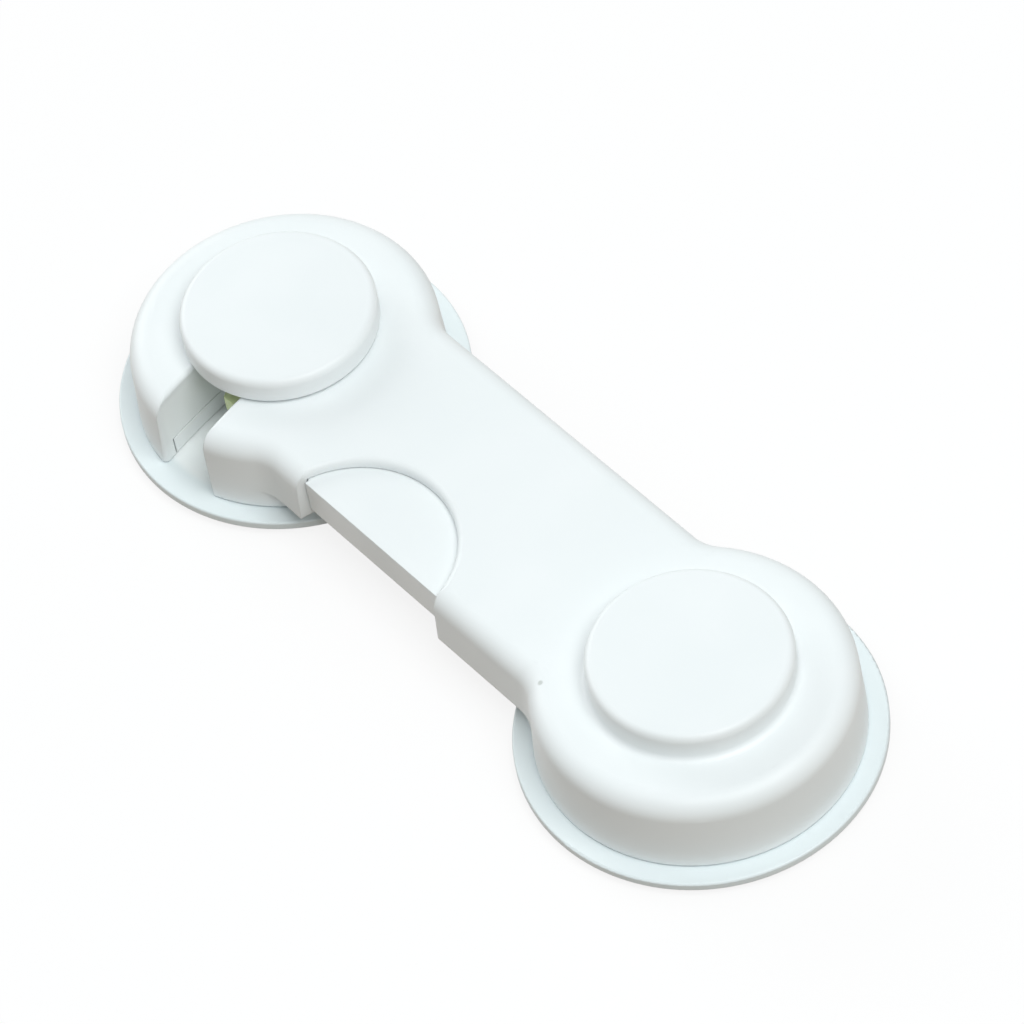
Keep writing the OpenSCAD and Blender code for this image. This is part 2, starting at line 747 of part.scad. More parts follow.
// One point of the spring tube: ring number and side number
function spring_point(ring, side) =
    let (angle = ring * 360 / spring_steps)
    let (around = side * 360 / spring_sides)
    let (radius = spring_mid_r + spring_wire / 2 * cos(around))
    let (y = spring_y0 + (spring_y1 - spring_y0) * ring / spring_rings + spring_wire / 2 * sin(around))
    [button_x + radius * cos(angle), y, spring_z + radius * sin(angle)];

// Coil spring that pushes the button out, one unbroken tube
module button_spring() {
    points = [for (ring = [0 : spring_rings]) for (side = [0 : spring_sides - 1]) spring_point(ring, side)];
    function at(ring, side) = ring * spring_sides + side % spring_sides;
    sides = [for (ring = [0 : spring_rings - 1]) for (side = [0 : spring_sides - 1]) for (half = [0, 1])
        half == 0 ? [at(ring, side), at(ring + 1, side), at(ring, side + 1)]
                  : [at(ring, side + 1), at(ring + 1, side), at(ring + 1, side + 1)]];
    start = [for (side = [1 : spring_sides - 2]) [0, side, side + 1]];
    last = spring_rings * spring_sides;
    finish = [for (side = [1 : spring_sides - 2]) [last, last + side + 1, last + side]];
    pitch = (spring_y1 - spring_y0) / spring_turns;
    echo(least_gap_of_the_spring = pitch - spring_wire);
    color(steel) polyhedron(points, concat(sides, start, finish));
}

// Latch of springy natural plastic: a tongue on a leaf, and a plate whose
// oblique slot turns the travel of the button into travel along X
module latch() {
    color(natural) difference() {
        union() {
            translate([0, 0, latch_z + tongue_lift]) linear_extrude(leaf_h - tongue_lift) tongue_plan();
            translate([leaf_x, tongue_out_y, latch_z]) cube([leaf_t, bar_y + bar_pad - tongue_out_y, leaf_h]);
            translate([leaf_x, bar_y - bar_pad, latch_z]) cube([bar_x1 - leaf_x, 2 * bar_pad, latch_plate_t]);
            translate([plate_x0, plate_y0, latch_z]) cube([bar_x1 - plate_x0, bar_y - plate_y0, latch_plate_t]);
            translate([plate_x0, plate_y0, latch_z])
                cube([plate_x1 - plate_x0, plate_y1 - plate_y0, latch_plate_t]);
        }
        translate([0, 0, latch_z - over]) linear_extrude(latch_plate_t + 2 * over) {
            slot_plan([cam_x, cam_y], cam_end, slot_r);
            slot_plan([guide_pin_x - latch_travel, bar_y], [guide_pin_x, bar_y], guide_pin_r + pin_fit);
        }
    }
}

module tongue_plan() {
    translate([tongue_tip_x + nose_r, tongue_in_y - nose_r]) circle(nose_r);
    polygon([
        [leaf_x + leaf_t, tongue_in_y], [tongue_tip_x + nose_r, tongue_in_y],
        [tongue_tip_x, tongue_in_y - nose_r], [tongue_tip_x, tongue_out_y + tongue_lead],
        [tongue_tip_x + tongue_bevel, tongue_out_y], [leaf_x + leaf_t, tongue_out_y]
    ]);
}

pivot_pad();
catch_pad();
pivot_base();
catch_base();
catch_cap();
catch_screw();
arm_shell();
arm_floor();
floor_screws();
pivot_screw();
pivot_washer();
release_button();
button_spring();
latch();
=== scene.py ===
# %% [markdown]
# # A cabinet safety lock
#
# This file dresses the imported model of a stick-on cabinet lock: a white arm that turns on one
# round base and closes its jaw round the post of another. The solids come from the frame, in
# metres, with +Z up, and they already have the right size and place. What is left to make is
# what the eye reads as a real moulding: the soft sheen of the plastic, the foam under the
# bases, the zinc on the screws, and a quiet studio to see them in.

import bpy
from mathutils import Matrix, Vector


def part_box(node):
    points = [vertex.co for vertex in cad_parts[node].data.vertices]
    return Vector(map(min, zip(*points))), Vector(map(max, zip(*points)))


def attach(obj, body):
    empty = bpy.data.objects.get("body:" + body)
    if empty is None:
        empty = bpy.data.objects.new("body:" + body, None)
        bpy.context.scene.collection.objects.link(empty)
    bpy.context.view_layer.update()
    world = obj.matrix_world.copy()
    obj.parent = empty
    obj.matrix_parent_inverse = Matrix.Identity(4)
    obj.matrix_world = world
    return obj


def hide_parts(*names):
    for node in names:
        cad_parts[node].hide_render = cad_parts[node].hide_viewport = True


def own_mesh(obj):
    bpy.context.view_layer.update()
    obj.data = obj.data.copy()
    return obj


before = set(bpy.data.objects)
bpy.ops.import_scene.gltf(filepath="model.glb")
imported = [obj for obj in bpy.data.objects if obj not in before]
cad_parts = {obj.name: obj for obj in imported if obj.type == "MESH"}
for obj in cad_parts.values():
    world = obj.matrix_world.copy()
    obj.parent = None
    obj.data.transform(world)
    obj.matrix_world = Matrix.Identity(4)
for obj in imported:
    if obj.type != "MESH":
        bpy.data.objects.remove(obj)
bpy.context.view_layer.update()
print("nodes:", ", ".join(sorted(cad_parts)))

# %% Libraries and units
import math

import bmesh
import bpy
from mathutils import Matrix, Vector

MM = 0.001
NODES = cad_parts
scene = bpy.context.scene
scene.view_settings.view_transform = "Standard"

# %% [markdown]
# ## Two sizes that are used throughout
#
# The lock is laid out about two upright axes, the pivot and the post, which stand equally far
# from the middle. Some marks lie by them in the plan, and some are found by how high they lie
# on the arm. The cell prints what the frame says as well, so that a change there shows at once.

# %% Axes and height
AXIS_PLACE = 33.65 * MM
ARM_TOP = 11.8 * MM


def box_of(node):
    """The low and the high corner of a piece of the frame."""
    return [Vector(corner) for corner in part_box(node)]


for node in ("pivot_base", "catch_base"):
    low, high = box_of(node)
    print(node, "has its axis at x =", round((low.x + high.x) / 2 / MM, 2), "mm")

# %% [markdown]
# ## The camera
#
# The photograph was taken with a long lens from above the right-hand front of the lock, with
# the camera tilted a little. Its place was worked out from the four round outlines, which are
# true circles on the object. A camera can be aimed with a Track To constraint, but that leaves
# no say in the tilt. Here its matrix is written out instead: a camera in Blender looks along
# its own -Z with +Y up, so the columns are the picture's right, its up and the way back.

# %% Camera: place and lens
VIEW_AZIMUTH = math.radians(57.321)
VIEW_ELEVATION = math.radians(52.368)
VIEW_ROLL = math.radians(-10.865)
VIEW_DISTANCE = 574.355 * MM
VIEW_TARGET = Vector((-2.678, 5.184, 1.0)) * MM
SENSOR_WIDTH = 36.0
PICTURE_WIDTH = 1024
FOCAL_PIXELS = 5244.961
NEAREST_SEEN = 10 * MM
print("camera height in mm:", round(VIEW_DISTANCE * math.sin(VIEW_ELEVATION) / MM))

# %% Camera


def photo_camera():
    """The camera that sees the lock as the photograph does."""
    level = math.cos(VIEW_ELEVATION)
    back = Vector((
        math.sin(VIEW_AZIMUTH) * level,
        -math.cos(VIEW_AZIMUTH) * level,
        math.sin(VIEW_ELEVATION),
    ))
    right = Vector((math.cos(VIEW_AZIMUTH), math.sin(VIEW_AZIMUTH), 0))
    right = Matrix.Rotation(VIEW_ROLL, 3, back) @ right
    columns = Matrix((right, back.cross(right), back)).transposed()
    data = bpy.data.cameras.new("photo_camera")
    data.sensor_width = SENSOR_WIDTH
    data.lens = FOCAL_PIXELS / PICTURE_WIDTH * SENSOR_WIDTH
    data.clip_start = NEAREST_SEEN
    camera = bpy.data.objects.new("photo_camera", data)
    place = Matrix.Translation(VIEW_TARGET + back * VIEW_DISTANCE)
    camera.matrix_world = place @ columns.to_4x4()
    scene.collection.objects.link(camera)
    return camera


scene.camera = photo_camera()
print("lens in mm:", round(scene.camera.data.lens, 1))

# %% [markdown]
# ## Writing materials as maths
#
# A finish such as "white, but a little rougher where the noise is high" is easier to read as
# an expression than as a list of nodes and links. `Value` wraps the socket of one number and
# overloads the operators, so that `0.3 + 0.1 * noise` adds the Math nodes by itself, and
# `one | other` is the higher of two masks. Every other node comes from `Recipe.node`, which
# takes the node's type, its settings, and what goes into its inputs. Colours and vectors go
# through Mix and Vector Math nodes, because a Math node would turn a colour grey.

# %% A number as an expression


class Value:
    """A number that changes over a surface, held by the output socket of a node."""

    def __init__(self, recipe, socket):
        self.recipe = recipe
        self.socket = socket

    def maths(self, operation, first, second):
        return self.recipe.node("ShaderNodeMath", {"operation": operation}, {0: first, 1: second})

    def __add__(self, other):
        return self.maths("ADD", self, other)

    def __sub__(self, other):
        return self.maths("SUBTRACT", self, other)

    def __rsub__(self, other):
        return self.maths("SUBTRACT", other, self)

    def __mul__(self, other):
        return self.maths("MULTIPLY", self, other)

    def __or__(self, other):
        return self.maths("MAXIMUM", self, other)

    __radd__ = __add__
    __rmul__ = __mul__
    __ror__ = __or__


print("operators ready: + - * |")

# %% A tree of nodes as a recipe


class Recipe:
    """A tree of shader nodes that grows by one node for each step that is written."""

    def __init__(self, tree):
        self.tree = tree

    def node(self, kind, settings=None, inputs=None, output=0):
        """Adds a node: its settings first, then the values or links of its sockets."""
        made = self.tree.nodes.new(kind)
        for name, setting in (settings or {}).items():
            setattr(made, name, setting)
        for name, given in (inputs or {}).items():
            self.feed(made.inputs[name], given)
        return Value(self, made.outputs[output])

    def feed(self, socket, given):
        """Links a value to a socket, or sets the socket to a constant."""
        if isinstance(given, Value):
            self.tree.links.new(given.socket, socket)
        else:
            socket.default_value = given

    def seen_by(self, first, *others):
        """1 for the kinds of ray that are named, and 0 for all others."""
        seen = self.node("ShaderNodeLightPath", output=first)
        for ray in others:
            seen = seen | self.node("ShaderNodeLightPath", output=ray)
        return seen

    def blend(self, share, first, second):
        """One shader that gives way to another as the share goes from 0 to 1."""
        return self.node("ShaderNodeMixShader", inputs={0: share, 1: first, 2: second})


print("recipes ready")

# %% [markdown]
# ## Patterns for a finish
#
# `Finish` is the recipe of one material. Its patterns are worked out from the place on the
# object, which moves with the piece, so a mark stays where it is when the arm swings. Edges
# get two helpers. A real edge always has a small radius that catches light, and the Bevel node
# gives the normal of such a rounded edge without a change to the mesh. Where that normal and
# the plain one disagree there must be an edge, and that gives a mask for worn edges for free.

# %% Finish


class Finish(Recipe):
    """A material and the patterns that drive its Principled shader."""

    def __init__(self, name):
        self.material = bpy.data.materials.new(name)
        self.material.use_nodes = True
        super().__init__(self.material.node_tree)
        self.shader = self.tree.nodes["Principled BSDF"]

    def set(self, **inputs):
        """Feeds the sockets of the shader, with spaces in their names written as underscores."""
        for name, given in inputs.items():
            self.feed(self.shader.inputs[name.replace("_", " ")], given)

    def place(self):
        """The place on the object, in metres, which moves with the piece."""
        return self.node("ShaderNodeTexCoord", output="Object")

    def height(self):
        """How high a place stands above the mounting surface, in metres."""
        return self.node("ShaderNodeSeparateXYZ", inputs={0: self.place()}, output="Z")

    def away_from(self, x, y):
        """How far a place is, in the plan, from an upright axis, in metres."""
        plan = {0: self.place(), 1: (1, 1, 0)}
        flat = self.node("ShaderNodeVectorMath", {"operation": "MULTIPLY"}, plan)
        ends = {0: flat, 1: (x, y, 0)}
        return self.node("ShaderNodeVectorMath", {"operation": "DISTANCE"}, ends, output="Value")

    def noise(self, size, detail=2.0):
        """Soft random blotches, about size metres across, from 0 to 1."""
        inputs = {"Vector": self.place(), "Scale": 1 / size, "Detail": detail}
        return self.node("ShaderNodeTexNoise", inputs=inputs)

    def streaks(self, length, width, turn):
        """Long thin marks that lie one way in the plan, from 0 to 1."""
        scale = (1 / length, 1 / width, 1 / width)
        inputs = {"Vector": self.place(), "Rotation": (0, 0, turn), "Scale": scale}
        stretched = self.node("ShaderNodeMapping", inputs=inputs)
        inputs = {"Vector": stretched, "Scale": 1.0, "Detail": 3.0}
        return self.node("ShaderNodeTexNoise", inputs=inputs)

    def cells(self, size, feature):
        """Cells about size metres across: 0 in the middle of each, and rising outwards."""
        inputs = {"Vector": self.place(), "Scale": 1 / size}
        return self.node("ShaderNodeTexVoronoi", {"feature": feature}, inputs, output="Distance")

    def ramp(self, value, low, high):
        """0 at low and 1 at high, with a smooth step between; low may be the larger."""
        inputs = {"Value": value, "From Min": low, "From Max": high}
        return self.node("ShaderNodeMapRange", {"interpolation_type": "SMOOTHSTEP"}, inputs)

    def mix(self, share, first, second):
        """A colour between two others."""
        inputs = {0: share, 6: first, 7: second}
        return self.node("ShaderNodeMix", {"data_type": "RGBA"}, inputs, output=2)

    def bump(self, height, depth, over):
        """The normal over, with a relief on it that is depth metres deep for a height of 1."""
        inputs = {"Height": height, "Strength": 1.0, "Distance": depth}
        if over:
            inputs["Normal"] = over
        return self.node("ShaderNodeBump", inputs=inputs)

    def soft_edges(self, radius):
        """A normal that rounds every edge of the mesh by radius."""
        return self.node("ShaderNodeBevel", {"samples": 8}, {"Radius": radius})

    def edges(self, rounded):
        """1 on the edges, where the rounded normal leaves the plain one, and 0 on the flats."""
        plain = self.node("ShaderNodeNewGeometry", output="Normal")
        settings = {"operation": "DOT_PRODUCT"}
        both = {0: rounded, 1: plain}
        match = self.node("ShaderNodeVectorMath", settings, both, output="Value")
        return self.ramp(match, 0.995, 0.9)


print("patterns ready")

# %% [markdown]
# ## The white plastic
#
# The mouldings are ABS in a slightly cool white. A polished tool would leave a mirror, and
# this one was finely spark-eroded, so the sheen is soft: a low, even grain a tenth of a
# millimetre across. Slower things keep it from looking like paint. The walls wave a little
# where they cooled unevenly, hands have rubbed some places smoother, a few fine scuffs lie
# aslant on them, and edges that hands touch are burnished and brighter.
#
# All this could be painted into a picture and wrapped round each piece. Noise in the object's
# own space needs no unwrapping, has no seams, and stays sharp however near the camera comes.

# %% White plastic: colours
COOL_WHITE = (0.915, 0.945, 0.950, 1)
SHADE_WHITE = (0.890, 0.925, 0.930, 1)
# The bases' whites are greyer and cooler than the arm's: a painted shade for the cool shade on
# them.
BASE_WHITE_PAINTED_SHADE = (0.850, 0.918, 0.932, 1)
BASE_DARKER_PAINTED_SHADE = (0.828, 0.898, 0.914, 1)
# Painted light: a brighter white that lifts the shade in the jaw.
JAW_PAINTED_LIGHT_WHITE = (0.957, 0.992, 0.992, 1)
BRIGHT_EDGE = (0.930, 0.960, 0.965, 1)
SPECK_GREY = (0.60, 0.63, 0.61, 1)
ARM_WHITES = (SHADE_WHITE, COOL_WHITE)
BASE_WHITES_PAINTED_SHADE = (BASE_DARKER_PAINTED_SHADE, BASE_WHITE_PAINTED_SHADE)
print("whites: arm", ARM_WHITES[1][:3], "bases", BASE_WHITES_PAINTED_SHADE[1][:3])

# %% White plastic: grain and wear
GRAIN_SIZE = 0.12 * MM
WAVE_SIZE = 7 * MM
WAVE_DEPTH = 0.05 * MM
RUB_SIZE = 14 * MM
RUB_RANGE = (0.35, 0.7)
SCUFF_LENGTH = 9 * MM
SCUFF_WIDTH = 0.16 * MM
SCUFF_TURN = 0.5
SCUFF_RANGE = (0.62, 0.74)
SCUFF_SHARE = 0.35
EDGE_SHARE = 0.6
ABS_IOR = 1.52
print("scuffs lie", round(math.degrees(SCUFF_TURN)), "degrees off the length of the arm")

# %% [markdown]
# ## Marks that have a place
#
# Over each screw boss the top of the arm has a sink, a dimple a few hundredths of a millimetre
# deep that shows only as a faint change of tone, and near the pivot head one grey speck came in
# with the granules. In the jaw, and on the part of its base that the jaw covers, the white is
# painted brighter: a painted light that lifts the shade of that hollow.
#
# Each mark is a soft round spot in the plan, times a mask of the heights where it may lie.

# %% Places of the marks
TOP_FROM = ARM_TOP - 0.6 * MM
TOP_FULL = ARM_TOP - 0.1 * MM
SINKS = [
    (15.85, 8.35),
    (15.85, -8.35),
    (-42.62, 5.18),
    (-27.47, 11.63),
    (45.66, 0.0),
    (-15.65, 1.17),
]
SINK_CORE = 0.4 * MM
SINK_REACH = 2.6 * MM
SINK_SHARE = 0.7
SPECK_PLACE = (23.16, -11.95)
SPECK_CORE = 0.15 * MM
SPECK_REACH = 0.38 * MM
POST_PLACE = (-AXIS_PLACE / MM, 0)
# The jaw's painted light: a round spot about the post, below the top of the arm.
JAW_CORE = 16.0 * MM
JAW_REACH = 17.2 * MM
JAW_FROM = ARM_TOP - 0.5 * MM
JAW_FULL = ARM_TOP - 1.5 * MM


def spot(finish, place, core, reach):
    """1 within core of a place given in millimetres, fading to 0 at reach."""
    x, y = place
    return finish.ramp(finish.away_from(x * MM, y * MM), reach, core)


def on_top(finish):
    """1 on the flat top of the arm, and 0 below its rounded edge."""
    return finish.ramp(finish.height(), TOP_FROM, TOP_FULL)


def painted_light_in_jaw(finish):
    """1 inside the jaw and under it, where light is painted in, and 0 elsewhere."""
    below_top = finish.ramp(finish.height(), JAW_FROM, JAW_FULL)
    return below_top * spot(finish, POST_PLACE, JAW_CORE, JAW_REACH)


print("sinks:", len(SINKS), "speck radius in mm:", round(SPECK_REACH / MM, 2))

# %% White plastic


def white_plastic(name, edge, grain_depth, roughness, whites=ARM_WHITES, sinks=(), speck=None):
    """White ABS, with edges rounded by edge and a grain of grain_depth, both in metres."""
    finish = Finish(name)
    grain = finish.noise(GRAIN_SIZE, detail=3.0)
    rubbed = finish.ramp(finish.noise(RUB_SIZE), *RUB_RANGE)
    scuffs = finish.ramp(finish.streaks(SCUFF_LENGTH, SCUFF_WIDTH, SCUFF_TURN), *SCUFF_RANGE)
    rounded = finish.soft_edges(edge)
    edges = finish.edges(rounded)
    top = on_top(finish)

    relief = finish.noise(WAVE_SIZE, detail=1.0)
    for place in sinks:
        relief = relief - top * spot(finish, place, SINK_CORE, SINK_REACH) * SINK_SHARE

    shade, white = whites
    colour = finish.mix(rubbed, shade, white)
    colour = finish.mix(scuffs * SCUFF_SHARE, colour, shade)
    colour = finish.mix(edges * EDGE_SHARE, colour, BRIGHT_EDGE)
    # Painted light: the jaw and the base under it are painted brighter, against their shade.
    colour = finish.mix(painted_light_in_jaw(finish), colour, JAW_PAINTED_LIGHT_WHITE)
    if speck:
        colour = finish.mix(top * spot(finish, speck, SPECK_CORE, SPECK_REACH), colour, SPECK_GREY)

    finish.set(
        Base_Color=colour,
        Roughness=roughness + 0.08 * grain - 0.07 * rubbed + 0.1 * scuffs - 0.08 * edges,
        Normal=finish.bump(grain, grain_depth, finish.bump(relief, WAVE_DEPTH, rounded)),
        IOR=ABS_IOR,
    )
    return finish.material


print("the white plastic can be mixed")

# %% [markdown]
# ## Five whites
#
# All the mouldings are the same plastic, and they differ in a few ways only. The arm has soft
# edges and the marks. Its hollow corners are pieces of their own further down, and they get
# next to no rounding, so that they melt into the arm without a line. The lid and the cap have
# crisper edges. The two bases are a touch greyer and cooler, a painted shade for the cool
# shade that lies on them. The button is the smoothest, since a thumb has polished it.

# %% The five whites
SATIN = 0.42
THUMB_SATIN = 0.36
GRAIN_DEPTH = 0.004 * MM
WORN_GRAIN_DEPTH = 0.003 * MM
MARKS = {"sinks": SINKS, "speck": SPECK_PLACE}

arm_white = white_plastic("arm_white", 0.25 * MM, GRAIN_DEPTH, SATIN, **MARKS)
hollow_white = white_plastic("hollow_white", 0.002 * MM, GRAIN_DEPTH, SATIN, **MARKS)
plain_white = white_plastic("plain_white", 0.12 * MM, GRAIN_DEPTH, SATIN)
# The bases get the greyer, cooler white of painted shade.
base_white_painted_shade = white_plastic("base_white_painted_shade", 0.12 * MM, GRAIN_DEPTH, SATIN, whites=BASE_WHITES_PAINTED_SHADE)
button_white = white_plastic("button_white", 0.2 * MM, WORN_GRAIN_DEPTH, THUMB_SATIN)
for material in (arm_white, hollow_white, plain_white, base_white_painted_shade, button_white):
    print(material.name, "has", len(material.node_tree.nodes), "nodes")

# %% [markdown]
# ## The natural plastic of the latch
#
# The latch slides and snaps all its life, so it is acetal, which is slippery and springy. It
# is left in its natural colour, a pale olive. Where the melt flowed round the pins it set in
# slightly lighter and darker clouds. Two olives mixed by a noise of a millimetre or two give
# those clouds; one plain colour would make the piece look like painted card.

# %% Natural plastic
OLIVE = (0.66, 0.76, 0.40, 1)
PALE_OLIVE = (0.76, 0.85, 0.50, 1)
FLOW_SIZE = 1.6 * MM
WAX_GRAIN_SIZE = 0.1 * MM
WAX_GRAIN_DEPTH = 0.003 * MM
LATCH_EDGE = 0.15 * MM


def natural_plastic():
    finish = Finish("natural_acetal")
    flow = finish.ramp(finish.noise(FLOW_SIZE, detail=3.0), 0.3, 0.7)
    grain = finish.noise(WAX_GRAIN_SIZE)
    finish.set(
        Base_Color=finish.mix(flow, OLIVE, PALE_OLIVE),
        Roughness=0.34 + 0.12 * grain,
        Normal=finish.bump(grain, WAX_GRAIN_DEPTH, finish.soft_edges(LATCH_EDGE)),
    )
    return finish.material


latch_olive = natural_plastic()
print("latch finish:", latch_olive.name)

# %% [markdown]
# ## Foam and zinc
#
# The pads are closed-cell foam, which is dull and full of tiny cells. The screws, the washer
# and the spring are zinc-plated steel, so they are metal with a soft blue-grey sheen that
# breaks up into fine spangles. Both are cells of some sort, and a Voronoi texture makes both:
# plain cells for the foam, and smooth ones, as crystals grow into each other, for the zinc.

# %% Foam
FOAM_GREY = (0.60, 0.61, 0.61, 1)
FOAM_LIGHT = (0.72, 0.73, 0.73, 1)
FOAM_CELL = 0.25 * MM
FOAM_CELL_DEPTH = 0.03 * MM
FOAM_MOTTLE = 2.0 * MM


def foam():
    finish = Finish("closed_cell_foam")
    cells = finish.cells(FOAM_CELL, "F1")
    mottle = finish.noise(FOAM_MOTTLE)
    light = finish.ramp(mottle * 0.6 + cells * 0.6, 0.3, 0.9)
    finish.set(
        Base_Color=finish.mix(light, FOAM_GREY, FOAM_LIGHT),
        Roughness=0.88 + 0.1 * mottle,
        Normal=finish.bump(cells, FOAM_CELL_DEPTH, None),
    )
    return finish.material


foam_grey = foam()
print("pad finish:", foam_grey.name)

# %% Zinc plate
ZINC = (0.56, 0.58, 0.62, 1)
ZINC_DARK = (0.42, 0.44, 0.48, 1)
SPANGLE_SIZE = 0.35 * MM
HAZE_SIZE = 0.08 * MM
HAZE_DEPTH = 0.002 * MM
SCREW_EDGE = 0.08 * MM


def zinc_plate():
    finish = Finish("zinc_plate")
    spangle = finish.ramp(finish.cells(SPANGLE_SIZE, "SMOOTH_F1"), 0.1, 0.8)
    haze = finish.noise(HAZE_SIZE, detail=3.0)
    finish.set(
        Base_Color=finish.mix(spangle, ZINC_DARK, ZINC),
        Metallic=1.0,
        Roughness=0.28 + 0.16 * haze,
        Normal=finish.bump(haze, HAZE_DEPTH, finish.soft_edges(SCREW_EDGE)),
    )
    return finish.material


zinc = zinc_plate()
print("screw finish:", zinc.name)

# %% [markdown]
# ## Dressing the mouldings
#
# Each moulding and screw keeps the mesh of the frame and only changes its material. They could
# be modelled anew with rounder edges, but the solids are exact already, with every draft and
# clearance, and the Bevel node softens their edges in the shading. The two soft pads and the
# spring get fuller pieces of their own further down.

# %% Dress the frame
FINISHES = {
    "arm_shell": arm_white,
    "arm_floor": plain_white,
    "pivot_base": base_white_painted_shade,
    "catch_base": base_white_painted_shade,
    "catch_cap": plain_white,
    "release_button": button_white,
    "latch": latch_olive,
    "catch_screw": zinc,
    "floor_screws": zinc,
    "pivot_screw": zinc,
    "pivot_washer": zinc,
}


def dress(node, material):
    """Gives a piece of the frame its finish, and counts its faces."""
    piece = NODES[node]
    piece.data.materials.clear()
    piece.data.materials.append(material)
    return len(piece.data.polygons)


for node, material in FINISHES.items():
    print(f"{node}: {dress(node, material)} faces, {material.name}")

# %% [markdown]
# ## A mesh from rings
#
# The hollow corners, the pads and the spring are all one kind of form: a closed line of points
# that is moved, turned or resized step by step. Each could come from a modifier of its own,
# such as Screw for the spring. One helper that joins any list of rings is shorter, and it lets
# every ring be worked out exactly. The faces are shaded smooth, except across sharp edges.

# %% Mesh from rings
SHARP_ANGLE = math.radians(40)


def tube_mesh(name, rings):
    """A closed mesh through rings of points, with one flat face over each end."""
    form = bmesh.new()
    loops = [[form.verts.new(point) for point in ring] for ring in rings]
    for near, far in zip(loops, loops[1:]):
        for i in range(len(near)):
            j = (i + 1) % len(near)
            form.faces.new((near[i], near[j], far[j], far[i]))
    form.faces.new(reversed(loops[0]))
    form.faces.new(loops[-1])
    bmesh.ops.recalc_face_normals(form, faces=form.faces)
    for face in form.faces:
        face.smooth = True
    mesh = bpy.data.meshes.new(name)
    form.to_mesh(mesh)
    form.free()
    mesh.set_sharp_from_angle(angle=SHARP_ANGLE)
    piece = bpy.data.objects.new(name, mesh)
    scene.collection.objects.link(piece)
    return piece


print("sharp from", round(math.degrees(SHARP_ANGLE)), "degrees")

# %% [markdown]
# ## The hollows beside the heads
#
# A mould is cut with round tools, so where a round head of the arm runs into its straight
# waist there is no crisp corner but a hollow of about five millimetres radius, which fades
# out over the rounded top edge. The frame leaves those four corners plain, and its meshes stay
# as they are, so each hollow is a small piece that fills its corner.
#
# At any height the head is a circle and the waist a straight side, both leaning in with the
# draft, so one hollow arc touches them both. The arcs are stacked from the underside of the
# waist to the top, and each stack is closed inside the wall of the arm, where it can't be seen.

# %% Hollows: sizes
HEAD_FOOT = 17.8 * MM
HEAD_FOOT_HEIGHT = 2.2 * MM
WAIST_FOOT = 13.05 * MM
WAIST_HEIGHT = 4.7 * MM
DRAFT = 0.05
EDGE_RADIUS = 2.4 * MM
EDGE_TURN = ARM_TOP - EDGE_RADIUS
HOLLOW_RADIUS = 5.0 * MM
HOLLOW_DEPTH = 0.3 * MM
HOLLOW_STEPS = 14
SIDE_LEVELS = 4
EDGE_LEVELS = 14
TOP_EASE = 0.004 * MM
print("the top edge starts to turn at", round(EDGE_TURN / MM, 1), "mm")

# %% Hollows: the plan at a height


def side_reach(foot, foot_height, height):
    """How far a drafted side with a rounded top edge reaches at a height."""
    lean = math.hypot(1, DRAFT)
    if height < EDGE_TURN + EDGE_RADIUS * DRAFT / lean:
        return foot - DRAFT * (height - foot_height)
    middle = foot - DRAFT * (EDGE_TURN - foot_height) - EDGE_RADIUS * lean
    return middle + math.sqrt(max(0, EDGE_RADIUS ** 2 - (height - EDGE_TURN) ** 2))


def hollow_ring(height, way_x, way_y):
    """The plan of one hollow at a height, closed inside the arm."""
    head = side_reach(HEAD_FOOT, HEAD_FOOT_HEIGHT, height)
    waist = side_reach(WAIST_FOOT, WAIST_HEIGHT, height)
    middle_y = waist + HOLLOW_RADIUS
    middle_x = math.sqrt((head + HOLLOW_RADIUS) ** 2 - middle_y ** 2)
    start = math.atan2(-middle_y, -middle_x)
    plan = [(math.sqrt(head ** 2 - waist ** 2) - HOLLOW_DEPTH / 2, waist - HOLLOW_DEPTH)]
    for step in range(HOLLOW_STEPS + 1):
        angle = start + (-math.pi / 2 - start) * step / HOLLOW_STEPS
        plan.append((
            middle_x + HOLLOW_RADIUS * math.cos(angle),
            middle_y + HOLLOW_RADIUS * math.sin(angle),
        ))
    return [(way_x * (AXIS_PLACE - x), way_y * y, height) for x, y in plan]


def hollow_heights():
    """Even steps up the side, then finer ones that follow the rounded edge."""
    side_step = (EDGE_TURN - WAIST_HEIGHT) / SIDE_LEVELS
    side = [WAIST_HEIGHT + side_step * i for i in range(SIDE_LEVELS + 1)]
    quarter = math.pi / 2
    rises = [math.sin(quarter * i / EDGE_LEVELS) for i in range(1, EDGE_LEVELS + 1)]
    return side + [EDGE_TURN + EDGE_RADIUS * rise - TOP_EASE for rise in rises]


print("levels in a hollow:", len(hollow_heights()))

# %% Hollows: the four pieces
for head, way_x in (("pivot", 1), ("catch", -1)):
    for side, way_y in (("front", -1), ("back", 1)):
        rings = [hollow_ring(height, way_x, way_y) for height in hollow_heights()]
        hollow = tube_mesh(f"{head}_{side}_hollow", rings)
        hollow.data.materials.append(hollow_white)
        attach(hollow, "arm")
        print("corner piece:", hollow.name, len(hollow.data.polygons), "faces")

# %% [markdown]
# ## The foam pads
#
# A pad of closed-cell foam is punched from a sheet, and the weight of the base squeezes it a
# little. Its rim is therefore not square: it swells between the two faces, it is pinched
# where the blade came through, and its outline wavers by a few hundredths of a millimetre.
# A cylinder with a Bevel modifier would have an even rim, which looks like hard rubber. Here
# the piece is turned from a short profile, and three slow waves run round it.

# %% Foam pads
PAD_SIDES = 160
PAD_RINGS = 9
PAD_SWELL = 0.14 * MM
PAD_PINCH = 0.1 * MM
PAD_WAVE = 0.03 * MM
PAD_WAVES = (5, 11, 23)


